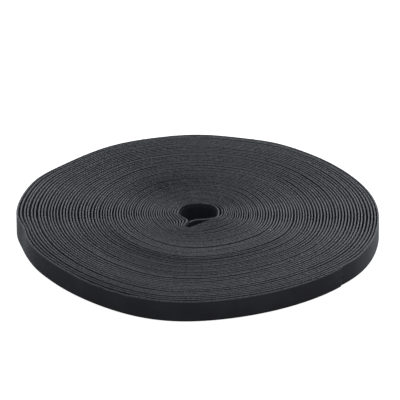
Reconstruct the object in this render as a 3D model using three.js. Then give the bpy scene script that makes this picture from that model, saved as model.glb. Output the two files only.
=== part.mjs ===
import * as THREE from "three";

// A coreless roll of hook and loop tape, lying flat. Millimetres, +Z up.
// The tape is wound edge up, from the core outwards, counter-clockwise seen from above.
// A turn is counted from the root of the inner free end. Angles are in degrees from +X.

// The roll
const tapeWidth = 16;
const rollRadius = 128.5;
const endRadiusShare = 1.008;
const coreRadius = 14.6;
const wholeTurns = 24;
const outerRootAngle = -62;
const innerRootAngle = -26;
const tapeEndAngle = -38.5;
const fullTurnAngle = 360;

// The tape, from the core side out: hook layer, bond, loop layer
const hookThickness = 1.3;
const bondClearance = 0.3;
const loopThickness = 1.6;
const hookInset = 0.5;
const tapeThickness = hookThickness + bondClearance + loopThickness;
const jointClearance = 0.3;
const leastSelfGap = 0.4;

// The roll lies on its lower edge, and this turn's start is the point that the base mount names
const baseMountTurn = 18;

// The winding: the pitch at the core, and how it grows to reach the outside
const corePitch = 4.25;
const turnsWound = wholeTurns + (outerRootAngle - innerRootAngle) / fullTurnAngle;
const turnsToEnd = wholeTurns + (tapeEndAngle - innerRootAngle) / fullTurnAngle;
const woundDepth = rollRadius * endRadiusShare - tapeThickness - coreRadius;
const pitchGrowth = 2 * (woundDepth - corePitch * turnsToEnd) / turnsToEnd ** 2;

// Steps: each band has twice as many as the one inside it, at the same angles, so that the
// turns stay side by side. The outermost turn and the two free ends have the finest.
const fineStepAngle = 6;
const coarseTurns = 14;
const stepBands = [
  { upTo: coarseTurns, step: fineStepAngle * 4 },
  { upTo: turnsWound - 1, step: fineStepAngle * 2 },
  { upTo: turnsWound, step: fineStepAngle },
];

// Where the roll is out of round: soft bulges in the outline, each fading towards the core
const bulges = [
  { atAngle: -29, spreadAngle: 20, riseShare: 0.033, fadePower: 0.65 },
  { atAngle: 4, spreadAngle: 27.5, riseShare: 0.041, fadePower: 1.4 },
  { atAngle: 47.5, spreadAngle: 16.5, riseShare: 0.01, fadePower: 0.6 },
  { atAngle: 63.5, spreadAngle: 10, riseShare: 0.0177, fadePower: 3 },
  { atAngle: 90.5, spreadAngle: 14.5, riseShare: 0.024, fadePower: 3 },
  { atAngle: 118.5, spreadAngle: 15, riseShare: 0.0205, fadePower: 1 },
  { atAngle: 154, spreadAngle: 9.5, riseShare: 0.018, fadePower: 4 },
  { atAngle: 171.5, spreadAngle: 25, riseShare: 0.052, fadePower: 3.9 },
  { atAngle: 258.5, spreadAngle: 20, riseShare: 0.037, fadePower: 1.5 },
];

// The turns round the core stand off from the inner free end, which leaves a pocket
const pocketAngle = 255;
const pocketSpreadAngle = 30;
const pocketRise = 3;
const pocketFadeTurns = 13;

// The inner free end: the middle of the tape, from its free tip to its root, in plan
const innerEndRoute = [
  [-5.2, -12],
  [-2.5, -11.2],
  [3.1, -10.4],
  [8.8, -9.7],
  [12.2, -9],
];
const innerEndSteps = 6;

// Joint ranges are in record.json. The pivots are worked out here and printed for it.

const loopColour = 0x2e3134;
const hookColour = 0x1c1e20;
const clothRoughness = 0.95;

function cloth(name, colour) {
  const material = new THREE.MeshStandardMaterial({ color: colour, roughness: clothRoughness });
  material.name = name;
  return material;
}

function angleBetween(angle, other) {
  const half = fullTurnAngle / 2;
  return THREE.MathUtils.euclideanModulo(angle - other + half, fullTurnAngle) - half;
}

function lobe(angle, at, spread) {
  return Math.exp(-((angleBetween(angle, at) / spread) ** 2));
}

function bulgeRise(angle, radius) {
  const outShare = radius / rollRadius;
  return bulges.reduce((sum, bulge) => {
    const { atAngle, spreadAngle, riseShare, fadePower } = bulge;
    return sum + riseShare * rollRadius * lobe(angle, atAngle, spreadAngle) * outShare ** fadePower;
  }, 0);
}

function pocketStandOff(angle, turn) {
  const left = Math.max(0, 1 - turn / pocketFadeTurns);
  return pocketRise * left * lobe(angle, pocketAngle, pocketSpreadAngle);
}

// The core side face of the tape at a turn, in plan, moved out by a depth into its thickness
function windingPoint(turn, depth) {
  const angle = innerRootAngle + turn * fullTurnAngle;
  const spiral = coreRadius + corePitch * turn + pitchGrowth * turn ** 2 / 2;
  const radius = spiral + bulgeRise(angle, spiral) + pocketStandOff(angle, turn) + depth;
  const radians = THREE.MathUtils.degToRad(angle);
  return new THREE.Vector2(radius * Math.cos(radians), radius * Math.sin(radians));
}

const hookDepths = [0, hookThickness];
const loopDepths = [hookThickness + bondClearance, tapeThickness];

function windingTurns() {
  const turns = [0];
  let from = 0;
  for (const { upTo, step } of stepBands) {
    const steps = Math.round((upTo - from) * fullTurnAngle / step);
    for (let count = 1; count <= steps; count += 1) {
      turns.push(from + count * step / fullTurnAngle);
    }
    from = upTo;
  }
  return turns;
}

function outerEndTurns() {
  const steps = Math.round((tapeEndAngle - outerRootAngle) / fineStepAngle);
  const rootGap = jointClearance / (Math.PI * 2 * rollRadius);
  const turns = [turnsWound + rootGap];
  for (let count = 1; count <= steps; count += 1) {
    turns.push(turnsWound + count * fineStepAngle / fullTurnAngle);
  }
  return turns;
}

function windingStations(turns, depths) {
  return turns.map((turn) => depths.map((depth) => windingPoint(turn, depth)));
}

// The inner free end runs from its tip to the start of the winding, its core side on the left
function innerEndStations(depths) {
  const root = windingPoint(0, tapeThickness / 2);
  const along = new THREE.Vector2(0, jointClearance).rotateAround(
    new THREE.Vector2(), THREE.MathUtils.degToRad(innerRootAngle));
  const route = innerEndRoute.map(([x, y]) => new THREE.Vector2(x, y));
  const curve = new THREE.SplineCurve([...route, root.clone().sub(along)]);
  const stations = [];
  for (let step = 0; step <= innerEndSteps; step += 1) {
    const share = step / innerEndSteps;
    const middle = curve.getPointAt(share);
    const heading = step === innerEndSteps ? along.clone().normalize() : curve.getTangentAt(share);
    const out = new THREE.Vector2(heading.y, -heading.x);
    stations.push(depths.map((depth) => middle.clone().addScaledVector(out, depth - tapeThickness / 2)));
  }
  return stations;
}

// A ribbon stands on edge along its stations, each an inner and an outer point in plan
function ribbon(stations, low, high) {
  const cornerCount = 4;
  const positions = [];
  for (const [inner, outer] of stations) {
    positions.push(inner.x, inner.y, low, outer.x, outer.y, low);
    positions.push(outer.x, outer.y, high, inner.x, inner.y, high);
  }
  const faces = [];
  for (let station = 0; station + 1 < stations.length; station += 1) {
    const here = station * cornerCount;
    const next = here + cornerCount;
    for (let corner = 0; corner < cornerCount; corner += 1) {
      const other = (corner + 1) % cornerCount;
      faces.push(here + corner, next + corner, next + other);
      faces.push(here + corner, next + other, here + other);
    }
  }
  const last = (stations.length - 1) * cornerCount;
  faces.push(0, 1, 2, 0, 2, 3);
  faces.push(last + 2, last + 1, last, last + 3, last + 2, last);
  const geometry = new THREE.BufferGeometry();
  geometry.setAttribute("position", new THREE.Float32BufferAttribute(positions, 3));
  geometry.setIndex(faces);
  geometry.computeVertexNormals();
  return geometry;
}

function distanceToSegment(point, from, to) {
  const along = to.clone().sub(from);
  const share = THREE.MathUtils.clamp(point.clone().sub(from).dot(along) / along.lengthSq(), 0, 1);
  return point.distanceTo(from.clone().addScaledVector(along, share));
}

// The least way from the outer face of a turn to the inner face of the turn round it
function leastGap(stations, turns) {
  let least = Infinity;
  for (let outer = 0; outer + 1 < stations.length; outer += 1) {
    for (let inner = outer + 2; inner + 1 < stations.length; inner += 1) {
      const turnsApart = turns[inner] - turns[outer];
      if (turnsApart > 1 / 2 && turnsApart < 3 / 2) {
        const [innerFrom] = stations[inner];
        const [innerTo] = stations[inner + 1];
        const outerFrom = stations[outer][1];
        const outerTo = stations[outer + 1][1];
        least = Math.min(
          least,
          distanceToSegment(outerFrom, innerFrom, innerTo),
          distanceToSegment(innerFrom, outerFrom, outerTo),
        );
      }
    }
  }
  return least;
}

function layer(name, stations, inset, material) {
  const mesh = new THREE.Mesh(ribbon(stations, inset, tapeWidth - inset), material);
  mesh.name = name;
  return mesh;
}

const turns = windingTurns();
const endTurns = outerEndTurns();
const loopWinding = windingStations(turns, loopDepths);
const hookWinding = windingStations(turns, hookDepths);

for (const [name, stations] of [["loop", loopWinding], ["hook", hookWinding]]) {
  const gap = leastGap(stations, turns);
  console.log(`${name} layer winding: least gap to itself ${gap.toFixed(2)} mm, over ${leastSelfGap}`);
}
const wholeTape = windingStations(turns, [0, tapeThickness]);
console.log(`least gap between turns of the whole tape ${leastGap(wholeTape, turns).toFixed(2)} mm`);

const roll = new THREE.Group();
roll.name = "hook_and_loop_tape_roll";
roll.add(layer("loop_layer_winding", loopWinding, 0, cloth("loop_cloth", loopColour)));
roll.add(layer("hook_layer_winding", hookWinding, hookInset, cloth("hook_cloth", hookColour)));
roll.add(layer(
  "outer_end_loop_layer", windingStations(endTurns, loopDepths), 0, cloth("loop_cloth_outer_end", loopColour)));
roll.add(layer(
  "outer_end_hook_layer", windingStations(endTurns, hookDepths), hookInset, cloth("hook_cloth_outer_end", hookColour)));
roll.add(layer(
  "inner_end_loop_layer", innerEndStations(loopDepths), 0, cloth("loop_cloth_inner_end", loopColour)));
roll.add(layer(
  "inner_end_hook_layer", innerEndStations(hookDepths), hookInset, cloth("hook_cloth_inner_end", hookColour)));

const bounds = new THREE.Box3().setFromObject(roll);
const middle = bounds.getCenter(new THREE.Vector3());
for (const mesh of roll.children) {
  mesh.geometry.translate(-middle.x, -middle.y, 0);
}

// Places that record.json states, in the shifted frame
const planMiddle = new THREE.Vector2(middle.x, middle.y);
const statedPoints = {
  "plan middle of the winding": new THREE.Vector2(),
  "outer end pivot": windingPoint(turnsWound, tapeThickness),
  "inner end pivot": windingPoint(0, 0),
  "base mount": windingPoint(baseMountTurn, (loopDepths[0] + loopDepths[1]) / 2),
};
for (const [name, point] of Object.entries(statedPoints)) {
  console.log(`${name} ${point.sub(planMiddle).toArray().map((value) => value.toFixed(3))}`);
}

export default roll;
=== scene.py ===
import math

import bpy
import numpy as np
from mathutils import Matrix, Vector


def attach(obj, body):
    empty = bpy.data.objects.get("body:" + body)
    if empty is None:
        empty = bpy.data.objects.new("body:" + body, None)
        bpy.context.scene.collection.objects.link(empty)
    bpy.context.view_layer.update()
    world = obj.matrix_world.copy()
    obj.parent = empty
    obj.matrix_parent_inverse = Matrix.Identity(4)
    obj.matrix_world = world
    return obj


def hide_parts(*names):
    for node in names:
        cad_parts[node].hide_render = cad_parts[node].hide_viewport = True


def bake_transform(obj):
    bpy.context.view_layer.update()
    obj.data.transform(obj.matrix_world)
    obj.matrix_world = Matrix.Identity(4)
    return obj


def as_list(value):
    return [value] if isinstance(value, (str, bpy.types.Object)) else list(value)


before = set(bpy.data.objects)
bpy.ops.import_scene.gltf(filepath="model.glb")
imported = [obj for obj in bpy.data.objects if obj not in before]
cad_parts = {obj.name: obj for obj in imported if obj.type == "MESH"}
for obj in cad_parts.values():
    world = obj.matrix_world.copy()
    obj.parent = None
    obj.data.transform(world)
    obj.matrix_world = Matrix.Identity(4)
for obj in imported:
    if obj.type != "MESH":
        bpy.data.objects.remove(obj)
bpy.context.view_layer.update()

# A coreless roll of back to back hook and loop tape, lying flat, in metres.
# Shares are of the roll's radius, and angles are in degrees from +X, counter-clockwise.
MM = 0.001
MIDDLE = 1 / 2
ROLL_RADIUS = 128.5 * MM
TAPE_WIDTH = 16 * MM
# The spiral's middle in the shared frame
WINDING_MIDDLE = (1.347 * MM, 1.758 * MM)

# The camera, fitted to the photograph's outline
PHOTO_PX = 400
SENSOR_MM = 36
CAMERA_ELEVATION = 27.97
CAMERA_DISTANCE_SHARE = 16
CAMERA_ROLL = -0.18
FOCAL_PX = 2814.6
ROLL_MIDDLE_PX = (198.37, 222.6)


def add_object(name, data):
    """A new object in the scene, at the origin."""
    new = bpy.data.objects.new(name, data)
    bpy.context.scene.collection.objects.link(new)
    return new


def make_camera():
    """A camera aimed so that the roll's middle lands on its pixel in the photograph."""
    elevation = math.radians(CAMERA_ELEVATION)
    back = Vector((0, -math.cos(elevation), math.sin(elevation)))
    right = Vector((1, 0, 0))
    up = back.cross(right)
    look = Matrix((right, up, back)).transposed().to_4x4()
    middle = Vector((*WINDING_MIDDLE, TAPE_WIDTH / 2))
    across = (ROLL_MIDDLE_PX[0] - PHOTO_PX / 2) / FOCAL_PX
    down = (ROLL_MIDDLE_PX[1] - PHOTO_PX / 2) / FOCAL_PX
    aim = Matrix.Rotation(math.atan(across), 4, "Y") @ Matrix.Rotation(math.atan(down), 4, "X")
    roll = Matrix.Rotation(math.radians(CAMERA_ROLL), 4, "Z")
    data = bpy.data.cameras.new("camera")
    data.sensor_width = SENSOR_MM
    data.lens = FOCAL_PX / PHOTO_PX * SENSOR_MM
    camera = add_object("camera", data)
    place = Matrix.Translation(middle + back * ROLL_RADIUS * CAMERA_DISTANCE_SHARE)
    camera.matrix_world = place @ look @ roll @ aim
    bpy.context.scene.camera = camera


make_camera()

# The winding. A turn is counted from the root of the inner free end.
TURNS_WOUND = 58 - 36 / 360
END_TURNS = 22.5 / 360
ALL_TURNS = TURNS_WOUND + END_TURNS
INNER_ROOT_ANGLE = -26
CORE_SHARE = 0.122
OUTSIDE_SHARE = 0.9795
# The pitch from the core out: its steady part, how it grows, and how the growth eases
PITCH_GROWTH = (1, 1.27, -0.61)
# The first turns are wound a little looser: by how much, and over how many turns
CORE_LOOSE_SHARE = 0.01
CORE_LOOSE_TURNS = 3

# Soft bulges in the outline: angle, spread, rise as a share of the radius, and how fast it fades
BULGES = (
    (-29, 20, 0.0345, 0.65),
    (4, 27.5, 0.041, 1.4),
    (47.5, 16.5, 0.01, 0.6),
    (63.5, 10, 0.0177, 3),
    (90.5, 14.5, 0.024, 3),
    (118.5, 15, 0.019, 1),
    (154, 9.5, 0.015, 4),
    (171, 25, 0.0485, 3.9),
    (181, 6, 0.004, 12),
    (191, 5, -0.004, 20),
    (206, 7, 0.0045, 12),
    (258.5, 20, 0.037, 1.5),
)

# Round the core hole: angle, spread, rise, fading outward
CORE_BULGES = ((-15, 35, -0.012), (90, 50, -0.012), (178, 35, -0.009), (255, 14, 0.01))
CORE_FADE_POWER = 2.5

# The turns round the free inner end: angle, then how far the tape is moved along X and Y, as shares
PUSHED_IN = (
    (176, 0, 0), (192, 0.002, 0.001), (207, 0.015, 0.008), (220, 0.019, 0.0155),
    (230, 0.0225, 0.0105), (237, 0.022, 0.0085), (242, 0.012, 0.003), (248, 0, 0),
    (275, -0.002, 0.004), (288, -0.008, 0.01), (300, -0.0085, 0.0135), (312, -0.0085, 0.01),
    (330, -0.003, 0.002), (345, 0.006, 0.003), (360, 0.01, 0), (385, 0.008, 0.002), (410, 0, 0),
)
PUSHED_OUT = (
    (232, 0, 0), (237, -0.001, -0.002), (241, -0.009, -0.01), (244, -0.0164, -0.0264),
    (248, -0.025, -0.038), (253, -0.0235, -0.051), (260, -0.0158, -0.0457),
    (268, -0.0143, -0.0325), (276, -0.011, -0.02), (288, -0.005, -0.008), (302, 0, 0),
)
PUSHED_IN_TURNS = 7
PUSHED_OUT_TURNS = 22
PUSH_FADE_POWER = 1.2
PUSH_START_TURN = 0.5
PUSH_FULL_TURN = 0.6
# The two flanks of the pocket move apart from turn to turn: angle, spread, how far
FLANKS = ((222, 42, 42), (305, 42, -26))
FLANK_TURNS = 4.5
FLANK_FADE_TURNS = 40
TABLE_START_ANGLE = 160

# Hand winding isn't even: waves in the pitch, as waves out, waves round, size and start
PITCH_WAVES = ((2.3, 1, 0.0016, 20), (3.9, -2, 0.0011, 140), (7.3, 3, 0.0004, 75))
LEAN_WAVES = ((4.1, 2, 0.0008, 60), (6.7, -1, 0.0005, 170))
# Where the waves start and where they stop, as shares, and over how far they fade
WAVES_START = (0.18, 0.15)
WAVES_STOP = (0.97, 0.1)
# What is uneven along the tape changes this many times a turn, with a few knots past the tape's end
UNEVEN_KNOTS_PER_TURN = 7
SPARE_KNOTS = 4
# Each stretch of an edge strays to one side or the other, as a share of the pitch
EDGE_STRAY = 0.22
STRAY_SEED = 5
# The outermost turns lean in at the left: angle, spread, how far at the top
LEAN = (189.5, 6, -0.018)
LEAN_FADE_POWER = 20
# The cut end is pressed flat on the turn inside it: how far, and over how many degrees
END_PRESSED = 0.77
END_PRESSED_DEGREES = 12


def hump(value, at, spread):
    """1 in its middle, and next to nothing two spreads away."""
    return np.exp(-((value - at) / spread) ** 2)


def lobe(angle, at, spread):
    """The same round a circle."""
    return hump((angle - at + 180) % 360 - 180, 0, spread)


def angle_at(turn):
    """The direction of a turn, seen from the roll's middle."""
    return INNER_ROOT_ANGLE + 360 * turn


def table_angle(angle):
    """The same direction, within the round that the tables cover."""
    return (angle - TABLE_START_ANGLE) % 360 + TABLE_START_ANGLE


def spiral_share(turn):
    """The inner face of the tape at a turn, where the roll is round."""
    share = turn / ALL_TURNS
    steady, grow, ease = PITCH_GROWTH
    along = steady * share + grow * share**2 / 2 + ease * share**3 / 3
    whole = steady + grow / 2 + ease / 3
    loose = CORE_LOOSE_SHARE * np.exp(-turn / CORE_LOOSE_TURNS)
    return CORE_SHARE + (OUTSIDE_SHARE - CORE_SHARE) * along / whole - loose


def curve_between(before, start, end, after, share):
    """A smooth curve from start to end, which also heads for the points before and after."""
    return 0.5 * (
        2 * start
        + (end - before) * share
        + (2 * before - 5 * start + 4 * end - after) * share**2
        + (3 * start - before - 3 * end + after) * share**3
    )


def smooth_table(table, angle):
    """A smooth curve through a table's rows, at each angle."""
    rows = np.array(table, float)
    at = table_angle(angle)
    here = np.clip(np.searchsorted(rows[:, 0], at) - 1, 0, len(rows) - 2)
    share = np.clip((at - rows[here, 0]) / (rows[here + 1, 0] - rows[here, 0]), 0, 1)[..., None]
    values = rows[:, 1:]
    before, start = values[np.maximum(here - 1, 0)], values[here]
    end, after = values[here + 1], values[np.minimum(here + 2, len(rows) - 1)]
    curve = curve_between(before, start, end, after, share)
    curve[(at < rows[0, 0]) | (at > rows[-1, 0])] = 0
    return curve


def fade(turns_out, over):
    """From 1 at the core to nothing, over some turns."""
    return np.maximum(0, 1 - turns_out / over) ** PUSH_FADE_POWER


def waves(table, share, angle):
    """Slow waves out and round, still at the core and at the outside."""
    first, fade_in = WAVES_START
    last, fade_out = WAVES_STOP
    strength = np.clip((share - first) / fade_in, 0, 1) * np.clip((last - share) / fade_out, 0, 1)
    return strength * sum(
        size * np.sin(2 * math.pi * out * share + np.radians(about * angle + start))
        for out, about, size, start in table
    )


def uneven(turn, seed):
    """A smooth random value from 0 to 1 along the tape."""
    knots = np.random.default_rng(seed).random(int(ALL_TURNS * UNEVEN_KNOTS_PER_TURN) + SPARE_KNOTS)
    at = np.maximum(0, np.asarray(turn, float)) * UNEVEN_KNOTS_PER_TURN
    here = np.minimum(at.astype(int), len(knots) - 2)
    share = at - here
    share = share * share * (3 - 2 * share)
    return knots[here] * (1 - share) + knots[here + 1] * share


def flank_lag(angle, on, out):
    """How far round the flanks of the pocket have moved, in degrees. on is how far the pocket has set
    in, from 0 to 1, and out is how many turns outside it this is."""
    move = on * (1 - np.exp(-out / FLANK_TURNS)) * np.maximum(0, 1 - out / FLANK_FADE_TURNS)
    return move * sum(far * hump(table_angle(angle), at, spread) for at, spread, far in FLANKS)


def bulge_rise(share, angle):
    """How far the bulges push the tape out."""
    rise = sum(high * lobe(angle, at, spread) * share**power for at, spread, high, power in BULGES)
    core = sum(high * lobe(angle, at, spread) for at, spread, high in CORE_BULGES)
    return rise + core * (CORE_SHARE / share) ** CORE_FADE_POWER


def edge_lean(turn, share, angle, pitch, height):
    """How far out the tape leans at a height from 0, the bottom edge, to 1, the top edge."""
    lean_at, lean_spread, lean_far = LEAN
    lean = lean_far * lobe(angle, lean_at, lean_spread) * share**LEAN_FADE_POWER
    stray = EDGE_STRAY * pitch * (uneven(turn, STRAY_SEED) - 1 / 2)
    return lean * height + (waves(LEAN_WAVES, share, angle) + stray) * (2 * height - 1)


def plan(turn, depth, height=MIDDLE):
    """Points in plan at each turn, at a depth from 0, the tape's inner face, to 1, the next turn's,
    and at a height from 0, the bottom edge, to 1, the top edge."""
    turn, depth = np.broadcast_arrays(np.asarray(turn, float), np.asarray(depth, float))
    depth = depth * (1 - END_PRESSED * np.exp(-(ALL_TURNS - turn) * 360 / END_PRESSED_DEGREES))
    angle = angle_at(turn)
    out = np.maximum(0, turn - PUSH_FULL_TURN + depth)
    on = np.clip((turn - PUSH_START_TURN) / (PUSH_FULL_TURN - PUSH_START_TURN), 0, 1)
    moved = turn - flank_lag(angle, on, out) / 360
    moved_angle = angle_at(moved)
    inner_share = spiral_share(moved)
    pitch = spiral_share(moved + 1) - inner_share
    share = inner_share + depth * pitch
    rise = bulge_rise(share, moved_angle)
    wave = waves(PITCH_WAVES, share, moved_angle)
    lean = edge_lean(turn, share, moved_angle, pitch, height)
    share = share + rise + wave + lean
    radians = np.radians(moved_angle)
    points = np.stack([share * np.cos(radians), share * np.sin(radians)], -1)
    points += (on * fade(out, PUSHED_IN_TURNS))[..., None] * smooth_table(PUSHED_IN, angle)
    points += (on * fade(out, PUSHED_OUT_TURNS))[..., None] * smooth_table(PUSHED_OUT, angle)
    return points * ROLL_RADIUS + np.array(WINDING_MIDDLE)


# How high the tape usually stands off the floor, in mm, and over how many last turns it comes down
USUAL_HEIGHT = 0.5
RIM_TURNS = 1.5
# The stretches pushed up, or sunk where negative: turn, spread in turns, mm
PUSHED_UP_OR_SUNK = (
    (5, 0.6, 0.15), (8.4, 0.5, -0.2), (12.7, 0.4, -0.15), (16, 0.4, -0.15), (18.6, 0.4, -0.15),
    (20.7, 0.6, 0.2), (21.82, 0.3, 0.3), (22.75, 0.45, -0.36), (26.6, 0.4, -0.25), (28.82, 0.3, 0.42),
    (30.8, 0.4, -0.24), (31.8, 0.35, -0.4), (33.8, 0.35, -0.38), (34.8, 0.35, -0.38),
    (36.8, 0.3, 0.13), (39.7, 0.5, 0.12), (41.8, 0.3, 0.27), (43.2, 0.3, -0.2), (43.8, 0.25, 0.3),
    (44.3, 0.5, 0.2), (45.6, 0.5, -0.15), (45.8, 0.25, 0.2), (48.5, 0.5, 0.12), (49.8, 0.3, 0.2),
    (51, 0.5, 0.15), (52.8, 0.35, -0.32), (55.8, 0.6, -0.22),
)
# Where the top edge alone is worn down: turn, spread in turns, mm
WORN_DOWN = (
    (56.985, 0.012, 0.6), (57.711, 0.007, 0.6), (57.725, 0.006, 0.9), (57.741, 0.006, 1),
    (57.758, 0.007, 0.8),
)
# Besides, the height is uneven all along the tape, by up to this many mm
UNEVEN_HEIGHT = 0.45
HEIGHT_SEED = 3
# The turns lie more evenly at the back left: angle, spread, share
EVEN = (115, 55, 0.5)


def stand(turn):
    """How far the tape's bottom edge stands off the floor."""
    moved = sum(up * hump(turn, at, spread) for at, spread, up in PUSHED_UP_OR_SUNK)
    usual = USUAL_HEIGHT * (1 - np.exp((turn - ALL_TURNS) / RIM_TURNS))
    even_at, even_spread, even_share = EVEN
    unevenness = 1 - even_share * lobe(angle_at(turn), even_at, even_spread)
    return (usual + unevenness * (moved + UNEVEN_HEIGHT * uneven(turn, HEIGHT_SEED))) * MM


def edge_top(turn):
    """How high the tape's top edge is."""
    worn = sum(down * hump(turn, at, spread) for at, spread, down in WORN_DOWN)
    return stand(turn) + TAPE_WIDTH - worn * MM


# The tape's section: the two faces of each layer and the crest of the loop cloth's edge, as shares
# of the pitch from the tape's inner face
LOOP_DEPTHS = (0.5, 0.9)
HOOK_DEPTHS = (0.04, 0.5)
CREST_DEPTH = 0.66
# Past the first turn the hooks press into the pile of the turn inside, and no light comes through
HOOK_PRESS = 0.16
# On the last turn the pile stands out further, and hides this share of the woven edge
LOOP_FLUFF = 0.12
OUTER_EDGE_HIDDEN = 0.2
# Each of these sets in over this many turns
RISE_TURNS = 12 / 360
# How much of the woven edge's lighter colour shows, and where painted shade darkens it, or painted light
# lightens it where negative:
# turn, spread in turns, angle, spread, share
EDGE_BARE = 0.7
# A spread so wide that the whole turn has it
ALL_ROUND = 900
PAINTED_LIGHT_AND_SHADE_ON_EDGE = (
    (3, 5, 300, 40, 0.25), (6, 9, 0, ALL_ROUND, 0.27), (21.5, 8, 122, 45, 0.58),
    (23.5, 5, 275, 60, -0.28), (28, 26, 150, 50, 0.15), (31, 5, 42, 35, -0.22),
    (31.4, 1.9, 250, 45, 0.6), (37.5, 4.5, 255, 40, 0.32), (44, 5, 225, 22, -0.25),
    (45, 10, 165, 40, 0.1), (49, 8, 308, 25, -0.25), (50, 9, 40, 60, -0.2),
    (56.5, 2.5, 245, 40, 0.38), (56.5, 4, 60, 50, -0.3),
)
# The hook cloth is narrower than the loop cloth, by this much at each edge
HOOK_INSET = 2.2 * MM
# How finely the winding is made
STEPS_PER_TURN = 90
FINE_STEPS_PER_TURN = 180
FINE_CORE_TURNS = 8
FINE_OUTER_TURNS = 2
# One edge of each section: depth share, how far from the edge in mm, and how far it is woven edge
LOOP_EDGE = (
    (0, 1.0, 0), (0, 0.45, 0.6), (0.05, 0.2, 0.8), (0.16, 0.06, 1), (0.35, 0, 1),
    (0.55, 0.03, 1), (0.75, 0.12, 1), (0.92, 0.28, 0.85), (1, 0.5, 0.65), (1, 1.1, 0),
)
LOOP_BOTTOM_EDGE = (
    (0, 0.65, 0), (0.05, 0.2, 0.8), (0.35, 0, 1), (0.75, 0.12, 1), (1, 0.5, 0.3), (1, 0.65, 0),
)
HOOK_EDGE = ((0, 1, 0), (0.12, 0.1, 1), (0.88, 0.1, 1), (1, 1, 0))
LOOP_EDGES = (LOOP_BOTTOM_EDGE, LOOP_EDGE)
HOOK_EDGES = (HOOK_EDGE, HOOK_EDGE)


def winding_turns(end):
    """Where the winding's sections are, closer together at the core and at the outside."""
    bands = (
        (0, FINE_CORE_TURNS, FINE_STEPS_PER_TURN),
        (FINE_CORE_TURNS, end - FINE_OUTER_TURNS, STEPS_PER_TURN),
        (end - FINE_OUTER_TURNS, end, FINE_STEPS_PER_TURN),
    )
    parts = [
        np.linspace(first, last, round((last - first) * steps) + 1)[:-1]
        for first, last, steps in bands
    ]
    return np.append(np.concatenate(parts), end)


def edge_share_and_painted_shade(turn):
    """How much of the woven edge's lighter colour shows at each turn, darkened in places by painted shade
    and lightened by painted light.
    """
    painted_shading = sum(
        share * hump(turn, at, spread) * lobe(angle_at(turn), toward, wide)
        for at, spread, toward, wide, share in PAINTED_LIGHT_AND_SHADE_ON_EDGE
    )
    return np.minimum(1, EDGE_BARE * (1 - painted_shading))


def length_along(points):
    """How far along a line each of its points is."""
    return np.concatenate([[0], np.cumsum(np.linalg.norm(np.diff(points, axis=0), axis=1))])


def strip_faces(stations, count):
    """The sides of a strip, whose sections of count points follow each other, and then its two cuts."""
    ring = np.arange(count)
    start = (np.arange(stations - 1) * count)[:, None]
    here, beside = start + ring, start + (ring + 1) % count
    sides = np.stack([here, here + count, beside + count, beside], -1).reshape(-1, 4)
    last = stations * count - 1
    return [*map(tuple, sides.tolist()), tuple(range(count)), tuple(range(last, last - count, -1))]


def lay_uv(mesh, along, around):
    """The tape's own UV map: how far along the strip, and how far round its section."""
    steps, count = len(along) - 1, len(around) - 1
    side_u = np.stack([along[:-1], along[1:], along[1:], along[:-1]], -1)
    side_v = np.stack([around[:-1], around[:-1], around[1:], around[1:]], -1)
    uv = np.zeros((len(mesh.loops), 2))
    uv[: 4 * steps * count, 0] = np.repeat(side_u[:, None], count, 1).reshape(-1)
    uv[: 4 * steps * count, 1] = np.repeat(side_v[None], steps, 0).reshape(-1)
    mesh.uv_layers.new(name="tape").data.foreach_set("uv", uv.reshape(-1))


def keep_cuts_flat(mesh, stations, count):
    """The sides are smooth, and the two cuts flat with sharp edges."""
    mesh.polygons.foreach_set("use_smooth", [True] * (len(mesh.polygons) - 2) + [False] * 2)
    ends = np.empty(2 * len(mesh.edges), int)
    mesh.edges.foreach_get("vertices", ends)
    first, second = (ends.reshape(-1, 2) // count).T
    at_cut = (first == second) & ((first == 0) | (first == stations - 1))
    mesh.edges.foreach_set("use_edge_sharp", at_cut)


def ribbon(name, curve_at, low, high, edges, material, edge_share_with_painted_shade=1):
    """A closed strip on edge with rounded edges. curve_at(share, height) gives its line in plan, at a
    share of its thickness and at a height from 0 to 1. low and high are where its two edges are, and
    edge_share_with_painted_shade is how far its woven edge's lighter colour shows, with painted shade in
    it."""
    bottom_edge, top_edge = edges
    rows = [(share, drop, woven, 0) for share, drop, woven in bottom_edge]
    rows += [(share, drop, woven, 1) for share, drop, woven in reversed(top_edge)]
    lines = []
    for share, drop, _, top in rows:
        z = high - drop * MM if top else low + drop * MM
        lines.append(np.column_stack([curve_at(share, top), z]))
    stations, count = len(lines[0]), len(rows)
    mesh = bpy.data.meshes.new(name)
    mesh.from_pydata(np.stack(lines, 1).reshape(-1, 3).tolist(), [], strip_faces(stations, count))
    section = np.stack([line[0] for line in [*lines, lines[0]]])
    lay_uv(mesh, length_along(curve_at(MIDDLE, 0)), length_along(section))
    # The woven edge's mask, which also carries painted shade and painted light
    woven_edge_and_painted_shade = mesh.attributes.new("woven_edge_and_painted_shade", "FLOAT", "POINT")
    shown = np.outer(np.broadcast_to(edge_share_with_painted_shade, stations), [woven for _, _, woven, _ in rows])
    woven_edge_and_painted_shade.data.foreach_set("value", shown.reshape(-1))
    keep_cuts_flat(mesh, stations, count)
    mesh.update()
    mesh.materials.append(material)
    return add_object(name, mesh)


# The finishes. Each has a darker colour and a lighter one.
LOOP_COLOURS = ((0.05, 0.051, 0.061, 1), (0.062, 0.064, 0.074, 1))
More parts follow.
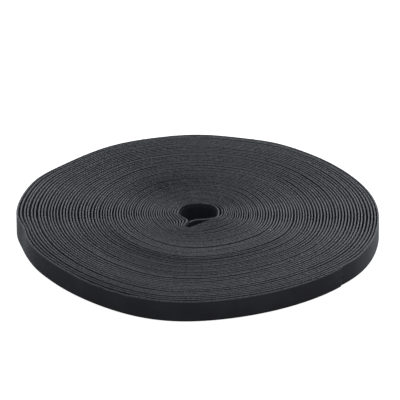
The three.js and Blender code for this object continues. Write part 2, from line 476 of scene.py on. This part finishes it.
# The woven edge is lighter than the face: partly its own thread, partly a painted highlight along the
# edges that catch the light
EDGE_COLOURS_AND_PAINTED_HIGHLIGHT = ((0.205, 0.212, 0.235, 1), (0.416, 0.431, 0.476, 1))
HOOK_COLOURS = ((0.036, 0.041, 0.052, 1), (0.036, 0.041, 0.052, 1))
HOOK_EDGE_COLOURS = ((0.036, 0.041, 0.052, 1), (0.06, 0.066, 0.08, 1))
CUT_THREAD_COLOURS = ((0.11, 0.112, 0.121, 1), (0.22, 0.224, 0.242, 1))
EDGE_THREAD_COLOURS = ((0.24, 0.245, 0.267, 1), (0.35, 0.357, 0.39, 1))
HOOK_THREAD_COLOURS = ((0.012, 0.012, 0.014, 1), (0.03, 0.03, 0.034, 1))
# The knit: its stitches, closer across than along, and the fibres of its nap
STITCH_SIZE = 1.5 * MM
STITCHES_CLOSER = 1.4
STITCH_HEIGHT = 0.2
NAP_SIZE = 1.1 * MM
NAP_DETAIL = 3
NAP_ROUGHNESS = 0.6
STRETCH_SCALE = 45
STRETCH_DETAIL = 2
RELIEF_DEPTH = 0.2 * MM
# Between which values of the noise a finish goes from its darker colour to its lighter one
FACE_CHANGE = (0.35, 0.7)
EDGE_CHANGE = (0.35, 0.6)
THREAD_CHANGE = (0.38, 0.62)
THREAD_SCALE = 500
THREAD_DETAIL = 2
CLOTH_GLOSS = 0.1
THREAD_GLOSS = 0.2
SHEEN_ROUGHNESS = 0.4
SHEEN_TINT = (0.9, 0.95, 1, 1)


def node_group(name, inputs, outputs):
    """An empty shader node group with its sockets, and the nodes that give and put them out."""
    group = bpy.data.node_groups.new(name, "ShaderNodeTree")
    for label, kind, value in inputs:
        socket = group.interface.new_socket(label, in_out="INPUT", socket_type=kind)
        socket.default_value = value
    for label, kind in outputs:
        group.interface.new_socket(label, in_out="OUTPUT", socket_type=kind)
    return group, group.nodes.new("NodeGroupInput"), group.nodes.new("NodeGroupOutput")


def feed(links, socket, value):
    """Link a socket to another, or set a plain value on it."""
    if isinstance(value, bpy.types.NodeSocket):
        links.new(value, socket)
    else:
        socket.default_value = value


def math_node(nodes, links, operation, *values):
    node = nodes.new("ShaderNodeMath")
    node.operation = operation
    for socket, value in zip(node.inputs, values):
        feed(links, socket, value)
    return node.outputs[0]


def noise_node(nodes, links, scale, detail):
    """Noise on the piece's own coordinates."""
    place = nodes.new("ShaderNodeTexCoord")
    node = nodes.new("ShaderNodeTexNoise")
    links.new(place.outputs["Object"], node.inputs["Vector"])
    feed(links, node.inputs["Scale"], scale)
    node.inputs["Detail"].default_value = detail
    return node


def make_knit_group():
    """Rows of stitches along and across a tape, blurred by its nap."""
    group, given, put_out = node_group(
        "tape_knit",
        [("Along", "NodeSocketFloat", 0.0), ("Across", "NodeSocketFloat", 0.0),
         ("Stitch", "NodeSocketFloat", STITCH_SIZE), ("Nap", "NodeSocketFloat", NAP_SIZE)],
        [("Height", "NodeSocketFloat"), ("Fibre", "NodeSocketFloat"), ("Stretch", "NodeSocketFloat")],
    )
    nodes, links = group.nodes, group.links
    along = math_node(nodes, links, "DIVIDE", given.outputs["Along"], given.outputs["Stitch"])
    across = math_node(nodes, links, "DIVIDE", given.outputs["Across"], given.outputs["Stitch"])
    waves_along = math_node(nodes, links, "MULTIPLY", along, 2 * math.pi)
    waves_across = math_node(nodes, links, "MULTIPLY", across, 2 * math.pi * STITCHES_CLOSER)
    row = math_node(nodes, links, "SINE", waves_along)
    column = math_node(nodes, links, "SINE", waves_across)
    stitch = math_node(nodes, links, "MULTIPLY", row, column)
    nap = noise_node(nodes, links, math_node(nodes, links, "DIVIDE", 1, given.outputs["Nap"]), NAP_DETAIL)
    nap.inputs["Roughness"].default_value = NAP_ROUGHNESS
    stretch = noise_node(nodes, links, STRETCH_SCALE, STRETCH_DETAIL)
    height = math_node(nodes, links, "MULTIPLY_ADD", stitch, STITCH_HEIGHT, nap.outputs["Fac"])
    links.new(height, put_out.inputs["Height"])
    links.new(nap.outputs["Fac"], put_out.inputs["Fibre"])
    links.new(stretch.outputs["Fac"], put_out.inputs["Stretch"])
    return group


knit_group = make_knit_group()


def ramp(nodes, links, value, change):
    """A mask that rises softly from 0 to 1 while a value goes from low to high."""
    low, high = change
    node = nodes.new("ShaderNodeMapRange")
    node.interpolation_type = "SMOOTHSTEP"
    links.new(value, node.inputs["Value"])
    node.inputs["From Min"].default_value = low
    node.inputs["From Max"].default_value = high
    return node.outputs["Result"]


def mix_colours(nodes, links, share, first, second):
    node = nodes.new("ShaderNodeMix")
    node.data_type = "RGBA"
    links.new(share, node.inputs["Factor"])
    feed(links, node.inputs["A"], first)
    feed(links, node.inputs["B"], second)
    return node.outputs["Result"]


def new_material(name):
    """A material to fill in, with its nodes, its links and its shader."""
    material = bpy.data.materials.new(name)
    material.use_nodes = True
    nodes = material.node_tree.nodes
    return material, nodes, material.node_tree.links, nodes["Principled BSDF"]


def cloth_material(name, face_colours, edge_colours, roughness, sheen, bump):
    """A knitted or woven cloth. Each pair of colours is its darker one, then its lighter one."""
    material, nodes, links, shader = new_material(name)
    uv = nodes.new("ShaderNodeUVMap")
    uv.uv_map = "tape"
    split = nodes.new("ShaderNodeSeparateXYZ")
    links.new(uv.outputs["UV"], split.inputs["Vector"])
    knit = nodes.new("ShaderNodeGroup")
    knit.node_tree = knit_group
    links.new(split.outputs["X"], knit.inputs["Along"])
    links.new(split.outputs["Y"], knit.inputs["Across"])
    knit.inputs["Stitch"].default_value = STITCH_SIZE
    knit.inputs["Nap"].default_value = NAP_SIZE
    patches = ramp(nodes, links, knit.outputs["Stretch"], FACE_CHANGE)
    fibres = ramp(nodes, links, knit.outputs["Fibre"], EDGE_CHANGE)
    face = mix_colours(nodes, links, patches, *face_colours)
    edge = mix_colours(nodes, links, fibres, *edge_colours)
    # The edge colour mixed in here carries a painted highlight on the loop cloth
    woven = nodes.new("ShaderNodeAttribute")
    woven.attribute_name = "woven_edge_and_painted_shade"
    links.new(mix_colours(nodes, links, woven.outputs["Fac"], face, edge), shader.inputs["Base Color"])
    relief = nodes.new("ShaderNodeBump")
    relief.inputs["Strength"].default_value = bump
    relief.inputs["Distance"].default_value = RELIEF_DEPTH
    links.new(knit.outputs["Height"], relief.inputs["Height"])
    links.new(relief.outputs["Normal"], shader.inputs["Normal"])
    shader.inputs["Roughness"].default_value = roughness
    shader.inputs["Specular IOR Level"].default_value = CLOTH_GLOSS
    shader.inputs["Sheen Weight"].default_value = sheen
    shader.inputs["Sheen Roughness"].default_value = SHEEN_ROUGHNESS
    shader.inputs["Sheen Tint"].default_value = SHEEN_TINT
    return material


def make_thread_group():
    """A mask of the places where thread is lighter."""
    group, given, put_out = node_group(
        "thread_patches", [("Scale", "NodeSocketFloat", THREAD_SCALE)], [("Lighter", "NodeSocketFloat")])
    nodes, links = group.nodes, group.links
    patches = noise_node(nodes, links, given.outputs["Scale"], THREAD_DETAIL)
    lighter = ramp(nodes, links, patches.outputs["Fac"], THREAD_CHANGE)
    links.new(lighter, put_out.inputs["Lighter"])
    return group


thread_group = make_thread_group()


def thread_material(name, dark, light, roughness):
    """Loose or cut thread, darker and lighter in places."""
    material, nodes, links, shader = new_material(name)
    patches = nodes.new("ShaderNodeGroup")
    patches.node_tree = thread_group
    patches.inputs["Scale"].default_value = THREAD_SCALE
    colour = mix_colours(nodes, links, patches.outputs["Lighter"], dark, light)
    links.new(colour, shader.inputs["Base Color"])
    shader.inputs["Roughness"].default_value = roughness
    shader.inputs["Specular IOR Level"].default_value = THREAD_GLOSS
    return material


loop_cloth = cloth_material(
    "loop_cloth", LOOP_COLOURS, EDGE_COLOURS_AND_PAINTED_HIGHLIGHT, roughness=0.9, sheen=0.15, bump=0.35)
hook_cloth = cloth_material(
    "hook_cloth", HOOK_COLOURS, HOOK_EDGE_COLOURS, roughness=0.8, sheen=0, bump=0.5)
cut_thread = thread_material("cut_thread", *CUT_THREAD_COLOURS, roughness=0.8)
edge_thread = thread_material("edge_thread", *EDGE_THREAD_COLOURS, roughness=0.7)
hook_thread = thread_material("hook_thread", *HOOK_THREAD_COLOURS, roughness=0.35)


# Geometry Nodes: what follows the tape
BEAD_SEGMENTS = 4
BEAD_RINGS = 2
THREAD_STEPS = 4
THREAD_SIDES = 3
# A thread is rooted this far inside the cloth, in its own lengths
THREAD_START = (0, -0.2, 0)


def geometry_tree(name, inputs):
    """An empty tree with its sockets, and the nodes that give and put them out."""
    tree = bpy.data.node_groups.new(name, "GeometryNodeTree")
    tree.interface.new_socket("Geometry", in_out="INPUT", socket_type="NodeSocketGeometry")
    for label, kind, value in inputs:
        socket = tree.interface.new_socket(label, in_out="INPUT", socket_type=kind)
        if value is not None:
            socket.default_value = value
    tree.interface.new_socket("Geometry", in_out="OUTPUT", socket_type="NodeSocketGeometry")
    return tree, tree.nodes.new("NodeGroupInput"), tree.nodes.new("NodeGroupOutput")


ROW_INPUTS = [
    ("Spacing", "NodeSocketFloat", MM), ("Size", "NodeSocketVector", (1, 1, 1)),
    ("Stray", "NodeSocketVector", (0, 0, 0)), ("Unevenness", "NodeSocketFloat", 0.0),
    ("Seed", "NodeSocketInt", 1), ("Material", "NodeSocketMaterial", None),
]


def bead(nodes, links, given):
    """A small swelling, one unit across each way before it is sized."""
    ball = nodes.new("GeometryNodeMeshUVSphere")
    ball.inputs["Segments"].default_value = BEAD_SEGMENTS
    ball.inputs["Rings"].default_value = BEAD_RINGS
    ball.inputs["Radius"].default_value = 1 / 2
    return ball.outputs["Mesh"]


def bent_thread(nodes, links, given):
    """A stiff thread that stands out along its own Y."""
    line = nodes.new("GeometryNodeCurveQuadraticBezier")
    line.inputs["Resolution"].default_value = THREAD_STEPS
    line.inputs["Start"].default_value = THREAD_START
    for label in ("Middle", "End"):
        links.new(given.outputs[label], line.inputs[label])
    round_section = nodes.new("GeometryNodeCurvePrimitiveCircle")
    round_section.inputs["Resolution"].default_value = THREAD_SIDES
    links.new(given.outputs["Thickness"], round_section.inputs["Radius"])
    body = nodes.new("GeometryNodeCurveToMesh")
    body.inputs["Fill Caps"].default_value = True
    links.new(line.outputs["Curve"], body.inputs["Curve"])
    links.new(round_section.outputs["Curve"], body.inputs["Profile Curve"])
    return body.outputs["Mesh"]


def random_value(nodes, links, kind, low, high, seed):
    """A random number or vector for each place, from low to high."""
    node = nodes.new("FunctionNodeRandomValue")
    node.data_type = kind
    for label, value in (("Min", low), ("Max", high), ("Seed", seed)):
        links.new(value, node.inputs[label])
    return node.outputs["Value"]


def make_row_tree(name, shape, own_inputs=()):
    """Small shapes one after the other along lines, each turned along its line."""
    tree, given, put_out = geometry_tree(name, [*own_inputs, *ROW_INPUTS])
    nodes, links = tree.nodes, tree.links
    to_curve = nodes.new("GeometryNodeMeshToCurve")
    spread = nodes.new("GeometryNodeResampleCurve")
    spread.mode = "LENGTH"
    links.new(given.outputs["Geometry"], to_curve.inputs["Mesh"])
    links.new(to_curve.outputs["Curve"], spread.inputs["Curve"])
    links.new(given.outputs["Spacing"], spread.inputs["Length"])
    heading = nodes.new("GeometryNodeInputTangent")
    turned = nodes.new("FunctionNodeAlignRotationToVector")
    turned.axis = "X"
    turned.pivot_axis = "Z"
    links.new(heading.outputs["Tangent"], turned.inputs["Vector"])
    shaped = nodes.new("GeometryNodeTransform")
    links.new(shape(nodes, links, given), shaped.inputs["Geometry"])
    links.new(given.outputs["Size"], shaped.inputs["Scale"])
    unevenness, stray, seed = (given.outputs[label] for label in ("Unevenness", "Stray", "Seed"))
    smaller = math_node(nodes, links, "SUBTRACT", 1, unevenness)
    larger = math_node(nodes, links, "ADD", 1, unevenness)
    size = random_value(nodes, links, "FLOAT", smaller, larger, seed)
    back = nodes.new("ShaderNodeVectorMath")
    back.operation = "SCALE"
    back.inputs["Scale"].default_value = -1
    links.new(stray, back.inputs[0])
    offset = random_value(nodes, links, "FLOAT_VECTOR", back.outputs[0], stray, seed)
    strayed = nodes.new("GeometryNodeSetPosition")
    links.new(spread.outputs["Curve"], strayed.inputs["Geometry"])
    links.new(offset, strayed.inputs["Offset"])
    place = nodes.new("GeometryNodeInstanceOnPoints")
    links.new(strayed.outputs["Geometry"], place.inputs["Points"])
    links.new(shaped.outputs["Geometry"], place.inputs["Instance"])
    links.new(turned.outputs["Rotation"], place.inputs["Rotation"])
    links.new(size, place.inputs["Scale"])
    finish_tree(tree, given, put_out, place.outputs["Instances"])
    return tree


def finish_tree(tree, given, put_out, instances):
    """Make the instances real, smooth and of their own material."""
    nodes, links = tree.nodes, tree.links
    real = nodes.new("GeometryNodeRealizeInstances")
    smooth = nodes.new("GeometryNodeSetShadeSmooth")
    painted = nodes.new("GeometryNodeSetMaterial")
    links.new(instances, real.inputs["Geometry"])
    links.new(real.outputs["Geometry"], smooth.inputs["Geometry"])
    links.new(smooth.outputs["Geometry"], painted.inputs["Geometry"])
    links.new(given.outputs["Material"], painted.inputs["Material"])
    links.new(painted.outputs["Geometry"], put_out.inputs["Geometry"])


def grown(name, tree, lines, values, material):
    """What a tree makes along lines of points, as a plain mesh."""
    line = bpy.data.meshes.new(name + "_line")
    count = len(lines[0])
    starts = range(0, count * len(lines), count)
    steps = [(start + step, start + step + 1) for start in starts for step in range(count - 1)]
    line.from_pydata(np.concatenate(lines).tolist(), steps, [])
    carrier = add_object(name + "_line", line)
    modifier = carrier.modifiers.new("grow", "NODES")
    modifier.node_group = tree
    sockets = {item.name: item.identifier for item in tree.interface.items_tree if item.in_out == "INPUT"}
    for label, value in values.items():
        modifier[sockets[label]] = value
    modifier[sockets["Material"]] = material
    evaluated = carrier.evaluated_get(bpy.context.evaluated_depsgraph_get())
    mesh = bpy.data.meshes.new_from_object(evaluated)
    mesh.name = name
    bpy.data.objects.remove(carrier)
    return add_object(name, mesh)


picks_tree = make_row_tree("edge_picks", bead)
threads_tree = make_row_tree(
    "bent_threads", bent_thread,
    [("Middle", "NodeSocketVector", (0, 1, 0)), ("End", "NodeSocketVector", (0, 1, 1)),
     ("Thickness", "NodeSocketFloat", 1.0)],
)
# The picks along both edges of the loop cloth, at the top sunk in and at the bottom clear of the floor
PICK_SPACING = 1.5 * MM
PICK_SIZE = (1.7 * MM, 0.5 * MM, 0.4 * MM)
PICK_STRAY = (0.2 * MM, 0.2 * MM, 0.15 * MM)
PICK_UNEVENNESS = 0.35
PICK_SINK = 0.1 * MM
PICK_CLEAR = 0.45 * MM
# The hooks stand out of the hook cloth in rows, each bent over at its tip. Where a hook or a thread
# end bends, where it ends and how thick it is are in its own lengths.
HOOK_SPACING = 1.2 * MM
HOOK_ROW_SPACING = 1.1 * MM
HOOK_ROWS_INSET = 0.7 * MM
HOOK_SIZE = 0.45 * MM
HOOK_STRAY = 0.12 * MM
HOOK_SHAPE = {"Middle": (0, 1.3, -0.1), "End": (0, 0.5, 0.7), "Thickness": 0.16, "Unevenness": 0.15}
# Thread ends stand out of a cut
CUT_THREAD_SPACING = 0.5 * MM
CUT_THREAD_LENGTH = 0.6 * MM
CUT_THREAD_STRAY = (0.1 * MM, 0.1 * MM, 0.08 * MM)
CUT_THREAD_SHAPE = {"Middle": (0, 0.5, 0.1), "End": (0.1, 1, 0.1), "Thickness": 0.12, "Unevenness": 0.5}


def wound_ribbon(name, turns, depths, inset, edges, material, fluff=0, press=0):
    """A layer of the tape over some turns. The last turn has nothing outside it, so its pile stands
    out further and hides some of its woven edge. The first turn has nothing inside it to press on."""
    outermost = np.clip((turns - (ALL_TURNS - 1)) / RISE_TURNS + 1 / 2, 0, 1)
    free = fluff * outermost
    pressed = press * np.clip((turns - 1) / RISE_TURNS, 0, 1)

    def curve_at(share, height):
        pile = free * max(0, 2 * share - 1) - pressed * max(0, 1 - 2 * share)
        return plan(turns, depths[0] + (depths[1] - depths[0]) * share + pile, height)

    low = stand(turns) + inset
    high = edge_top(turns) - inset
    # How far the woven edge's colour shows, darkened in places by painted shade from the table
    edge_share_with_painted_shade = edge_share_and_painted_shade(turns) * (1 - OUTER_EDGE_HIDDEN * outermost)
    return ribbon(name, curve_at, low, high, edges, material, edge_share_with_painted_shade)


def wound_loop_cloth(name, turns):
    return wound_ribbon(name, turns, LOOP_DEPTHS, 0, LOOP_EDGES, loop_cloth, fluff=LOOP_FLUFF)


def wound_hook_cloth(name, turns):
    return wound_ribbon(name, turns, HOOK_DEPTHS, HOOK_INSET, HOOK_EDGES, hook_cloth, press=HOOK_PRESS)


def picks_along(name, line, height, seed):
    """The picks along one edge of the loop cloth, over a line in plan."""
    points = np.column_stack([line, height])
    values = {
        "Spacing": PICK_SPACING, "Size": PICK_SIZE, "Stray": PICK_STRAY, "Unevenness": PICK_UNEVENNESS,
        "Seed": seed,
    }
    return grown(name, picks_tree, [points], values, edge_thread)


def wound_top_picks(name, turns, seed):
    return picks_along(name, plan(turns, CREST_DEPTH, 1), edge_top(turns) - PICK_SINK, seed)


def wound_bottom_picks(name, turns, seed):
    return picks_along(name, plan(turns, CREST_DEPTH, 0), stand(turns) + PICK_CLEAR, seed)


def hooks_along(name, line, low, seed):
    """Rows of hooks on the hook cloth's inner face, which is a line in plan."""
    start = HOOK_INSET + HOOK_ROWS_INSET
    rows = np.arange(start, TAPE_WIDTH - start, HOOK_ROW_SPACING)
    lines = [np.column_stack([line, low + height]) for height in rows]
    values = {"Spacing": HOOK_SPACING, "Size": [HOOK_SIZE] * 3, "Stray": [HOOK_STRAY] * 3, "Seed": seed}
    return grown(name, threads_tree, lines, {**values, **HOOK_SHAPE}, hook_thread)


def wound_hooks(name, turns, seed):
    return hooks_along(name, plan(turns, HOOK_DEPTHS[0]), stand(turns), seed)


def cut_threads(name, places, heading, low, seed):
    """Thread ends down a cut, in columns at places in plan, pointing along a heading."""
    ahead = heading / np.linalg.norm(heading)
    across = np.array([-ahead[1], ahead[0]])
    heights = (PICK_CLEAR, TAPE_WIDTH - PICK_CLEAR)
    offsets = [(place - places[0]) @ across for place in places]
    lines = [[(height, 0, offset) for height in heights] for offset in offsets]
    values = {
        "Spacing": CUT_THREAD_SPACING, "Size": [CUT_THREAD_LENGTH] * 3, "Stray": CUT_THREAD_STRAY,
        "Seed": seed, **CUT_THREAD_SHAPE,
    }
    piece = grown(name, threads_tree, lines, values, cut_thread)
    piece.data.transform(Matrix((
        (0, ahead[0], across[0], places[0][0]),
        (0, ahead[1], across[1], places[0][1]),
        (1, 0, 0, low),
        (0, 0, 0, 1),
    )))
    return piece


# The winding's two layers
turns = winding_turns(TURNS_WOUND)
loop_piece = wound_loop_cloth("loop_cloth_winding", turns)
hook_piece = wound_hook_cloth("hook_cloth_winding", turns)
top_picks = wound_top_picks("winding_top_picks", turns, seed=11)
bottom_picks = wound_bottom_picks("winding_bottom_picks", turns, seed=12)
core_hooks = wound_hooks("core_hooks", turns[turns < 1], seed=16)
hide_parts("loop_layer_winding")
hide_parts("hook_layer_winding")
for piece, slot_name in (
    (loop_piece, "loop_cloth"), (hook_piece, "hook_cloth"), (top_picks, "loop_cloth"),
    (bottom_picks, "loop_cloth"), (core_hooks, "hook_cloth"),
):
    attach(piece, "roll")

# The outer free end goes on from the winding; its root and a point a little past it lie at a depth in the
# middle of its cloths
OUTER_END_STEPS = 24
OUTER_BEND_TURNS = 9 / 360
OUTER_BEND_DEPTH = 0.4
OUTER_CUT_DEPTHS = (0.6, 0.9, 1.15)
CUT_HEADING_TURNS = 1 / 360
end_turns = np.linspace(TURNS_WOUND, ALL_TURNS, OUTER_END_STEPS + 1)
outer_loop = wound_loop_cloth("outer_end_loop_cloth", end_turns)
outer_hook = wound_hook_cloth("outer_end_hook_cloth", end_turns)
outer_top_picks = wound_top_picks("outer_end_top_picks", end_turns, seed=13)
outer_bottom_picks = wound_bottom_picks("outer_end_bottom_picks", end_turns, seed=14)
outer_hooks = wound_hooks("outer_end_hooks", end_turns, seed=17)
outer_cut_places = [plan(ALL_TURNS, depth) for depth in OUTER_CUT_DEPTHS]
outer_heading = plan(ALL_TURNS, 1) - plan(ALL_TURNS - CUT_HEADING_TURNS, 1)
outer_cut = cut_threads(
    "outer_end_cut_threads", outer_cut_places, outer_heading, stand(ALL_TURNS), seed=18)
OUTER_ROOT = (*plan(TURNS_WOUND, OUTER_BEND_DEPTH), TAPE_WIDTH / 2)
OUTER_BENT = (*plan(TURNS_WOUND + OUTER_BEND_TURNS, OUTER_BEND_DEPTH), TAPE_WIDTH / 2)
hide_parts("outer_end_loop_layer")
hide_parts("outer_end_hook_layer")
for piece, slot_name in (
    (outer_loop, "loop_cloth"), (outer_hook, "hook_cloth"), (outer_top_picks, "loop_cloth"),
    (outer_bottom_picks, "loop_cloth"), (outer_hooks, "hook_cloth"), (outer_cut, "loop_cloth"),
):
    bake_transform(piece)

# The inner free end, from its tip to the winding's start: the middle of its thickness, as shares
INNER_END_ROUTE = (
    (-0.053, -0.11), (-0.03, -0.092), (-0.0075, -0.083), (0.0375, -0.0775), (0.075, -0.067),
)
INNER_END_STEPS = 48
ROOT_HEADING_TURNS = 0.02
INNER_CUT_DEPTHS = (0.6, 0.85)


def inner_end_curves():
    """The middle line of the inner end and its outward side, from its tip to its root."""
    root = (plan(0, 0) + plan(0, 1)) / 2
    after = (plan(ROOT_HEADING_TURNS, 0) + plan(ROOT_HEADING_TURNS, 1)) / 2
    middle = np.array(WINDING_MIDDLE)
    route = [np.array(place) * ROLL_RADIUS + middle for place in INNER_END_ROUTE] + [root]
    across = (plan(0, 1) - plan(0, 0)) / 2
    heading = after - root
    knots = [2 * route[0] - route[1], *route, root + heading]
    shares = np.linspace(0, 1, INNER_END_STEPS // (len(route) - 1), endpoint=False)
    line = [
        curve_between(*knots[first:first + 4], share)
        for first in range(len(route) - 1) for share in shares
    ]
    line = np.array([*line, root])
    tangent = np.gradient(line, axis=0)
    tangent[-1] = heading
    tangent /= np.linalg.norm(tangent, axis=1)[:, None]
    outward = np.stack([tangent[:, 1], -tangent[:, 0]], -1) * np.linalg.norm(across)
    outward[-1] = across
    return line, outward


middle_line, outward_side = inner_end_curves()


def inner_end_at(depth):
    """The inner end's line in plan at a depth from 0, its inner face, to 1."""
    return middle_line + outward_side * (2 * depth - 1)


def inner_end_ribbon(name, depths, inset, edges, material):
    """A layer of the inner end."""
    def curve_at(share, height):
        return inner_end_at(depths[0] + (depths[1] - depths[0]) * share)

    low = np.full(len(middle_line), stand(0) + inset)
    return ribbon(name, curve_at, low, low + TAPE_WIDTH - 2 * inset, edges, material, EDGE_BARE)


inner_loop = inner_end_ribbon("inner_end_loop_cloth", LOOP_DEPTHS, 0, LOOP_EDGES, loop_cloth)
inner_hook = inner_end_ribbon("inner_end_hook_cloth", HOOK_DEPTHS, HOOK_INSET, HOOK_EDGES, hook_cloth)
inner_low = np.full(len(middle_line), stand(0))
inner_crest = inner_end_at(CREST_DEPTH)
inner_top_picks = picks_along(
    "inner_end_top_picks", inner_crest, inner_low + TAPE_WIDTH - PICK_SINK, seed=15)
inner_bottom_picks = picks_along(
    "inner_end_bottom_picks", inner_crest, inner_low + PICK_CLEAR, seed=19)
inner_hooks = hooks_along("inner_end_hooks", inner_end_at(HOOK_DEPTHS[0]), inner_low, seed=20)
inner_cut_places = [inner_end_at(depth)[0] for depth in INNER_CUT_DEPTHS]
inner_heading = middle_line[0] - middle_line[1]
inner_cut = cut_threads(
    "inner_end_cut_threads", inner_cut_places, inner_heading, inner_low[0], seed=21)
inner_root = middle_line[-1]
INNER_ROOT = (*inner_root, TAPE_WIDTH / 2)
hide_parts("inner_end_loop_layer")
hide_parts("inner_end_hook_layer")
for piece, slot_name in (
    (inner_loop, "loop_cloth"), (inner_hook, "hook_cloth"), (inner_top_picks, "loop_cloth"),
    (inner_bottom_picks, "loop_cloth"), (inner_hooks, "hook_cloth"), (inner_cut, "loop_cloth"),
):
    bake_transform(piece)

# The cloth pieces and the flat size that each was cut to
wound_length = length_along(plan(turns, MIDDLE))[-1]
outer_length = length_along(plan(end_turns, MIDDLE))[-1]
inner_length = length_along(middle_line)[-1]
for piece, length, own in (
    (loop_piece, wound_length, (top_picks, bottom_picks)),
    (outer_loop, outer_length, (outer_top_picks, outer_bottom_picks, outer_cut)),
    (inner_loop, inner_length, (inner_top_picks, inner_bottom_picks, inner_cut)),
):
    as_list(own)
for piece, length, own, under in (
    (hook_piece, wound_length, core_hooks, loop_piece),
    (outer_hook, outer_length, outer_hooks, outer_loop),
    (inner_hook, inner_length, inner_hooks, inner_loop),
):
    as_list(under)
    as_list(own)


# The floor, lamps and world
FLOOR_SIZE = 6
FLOOR_COLOUR = (0.8, 0.8, 0.8, 1)
FLOOR_GLOW = 0.92
WHITE = (1, 1, 1, 1)
BACKGROUND = 1.0
STUDIO_LIGHT = 0.24
# Both lamps stand low behind the roll: place and size in metres, and watts
LAMPS = (
    ("left_lamp", (-0.55, 1.24, 0.36), (0.75, 0.5), 10.6),
    ("right_lamp", (0.88, 1.03, 0.44), (0.9, 0.5), 12),
)


def seen_directly(nodes, links):
    """1 for what the camera sees, also in gloss and through glass."""
    seen = nodes.new("ShaderNodeLightPath").outputs
    either = math_node(nodes, links, "MAXIMUM", seen["Is Camera Ray"], seen["Is Glossy Ray"])
    return math_node(nodes, links, "MAXIMUM", either, seen["Is Transmission Ray"])


def make_floor():
    """A pale floor, which is white where the camera sees it and keeps the roll's shadow."""
    half = FLOOR_SIZE / 2
    mesh = bpy.data.meshes.new("floor")
    corners = [(-half, -half, 0), (half, -half, 0), (half, half, 0), (-half, half, 0)]
    mesh.from_pydata(corners, [], [(0, 1, 2, 3)])
    material, nodes, links, shader = new_material("pale_floor")
    shader.inputs["Base Color"].default_value = FLOOR_COLOUR
    shader.inputs["Roughness"].default_value = 1
    shader.inputs["Specular IOR Level"].default_value = 0
    glow = nodes.new("ShaderNodeEmission")
    links.new(seen_directly(nodes, links), glow.inputs["Color"])
    glow.inputs["Strength"].default_value = FLOOR_GLOW
    both = nodes.new("ShaderNodeAddShader")
    links.new(glow.outputs[0], both.inputs[0])
    links.new(shader.outputs[0], both.inputs[1])
    links.new(both.outputs[0], nodes["Material Output"].inputs["Surface"])
    mesh.materials.append(material)
    floor = add_object("floor", mesh)


def make_world():
    """Soft light from all round, and white where the camera sees it."""
    world = bpy.data.worlds.new("studio")
    bpy.context.scene.world = world
    world.use_nodes = True
    nodes, links = world.node_tree.nodes, world.node_tree.links
    plain = nodes["Background"]
    plain.inputs["Color"].default_value = WHITE
    plain.inputs["Strength"].default_value = STUDIO_LIGHT
    white = nodes.new("ShaderNodeBackground")
    white.inputs["Color"].default_value = WHITE
    white.inputs["Strength"].default_value = BACKGROUND
    mix = nodes.new("ShaderNodeMixShader")
    links.new(seen_directly(nodes, links), mix.inputs["Fac"])
    links.new(plain.outputs[0], mix.inputs[1])
    links.new(white.outputs[0], mix.inputs[2])
    links.new(mix.outputs[0], nodes["World Output"].inputs["Surface"])


def make_lamp(name, place, size, watts):
    """A softbox that faces the roll."""
    data = bpy.data.lights.new(name, "AREA")
    data.shape = "RECTANGLE"
    data.size, data.size_y = size
    data.energy = watts
    facing = Vector(place).to_track_quat("Z", "Y").to_matrix().to_4x4()
    add_object(name, data).matrix_world = Matrix.Translation(place) @ facing


make_floor()
make_world()
for lamp in LAMPS:
    make_lamp(*lamp)
bpy.context.scene.view_settings.view_transform = "Standard"
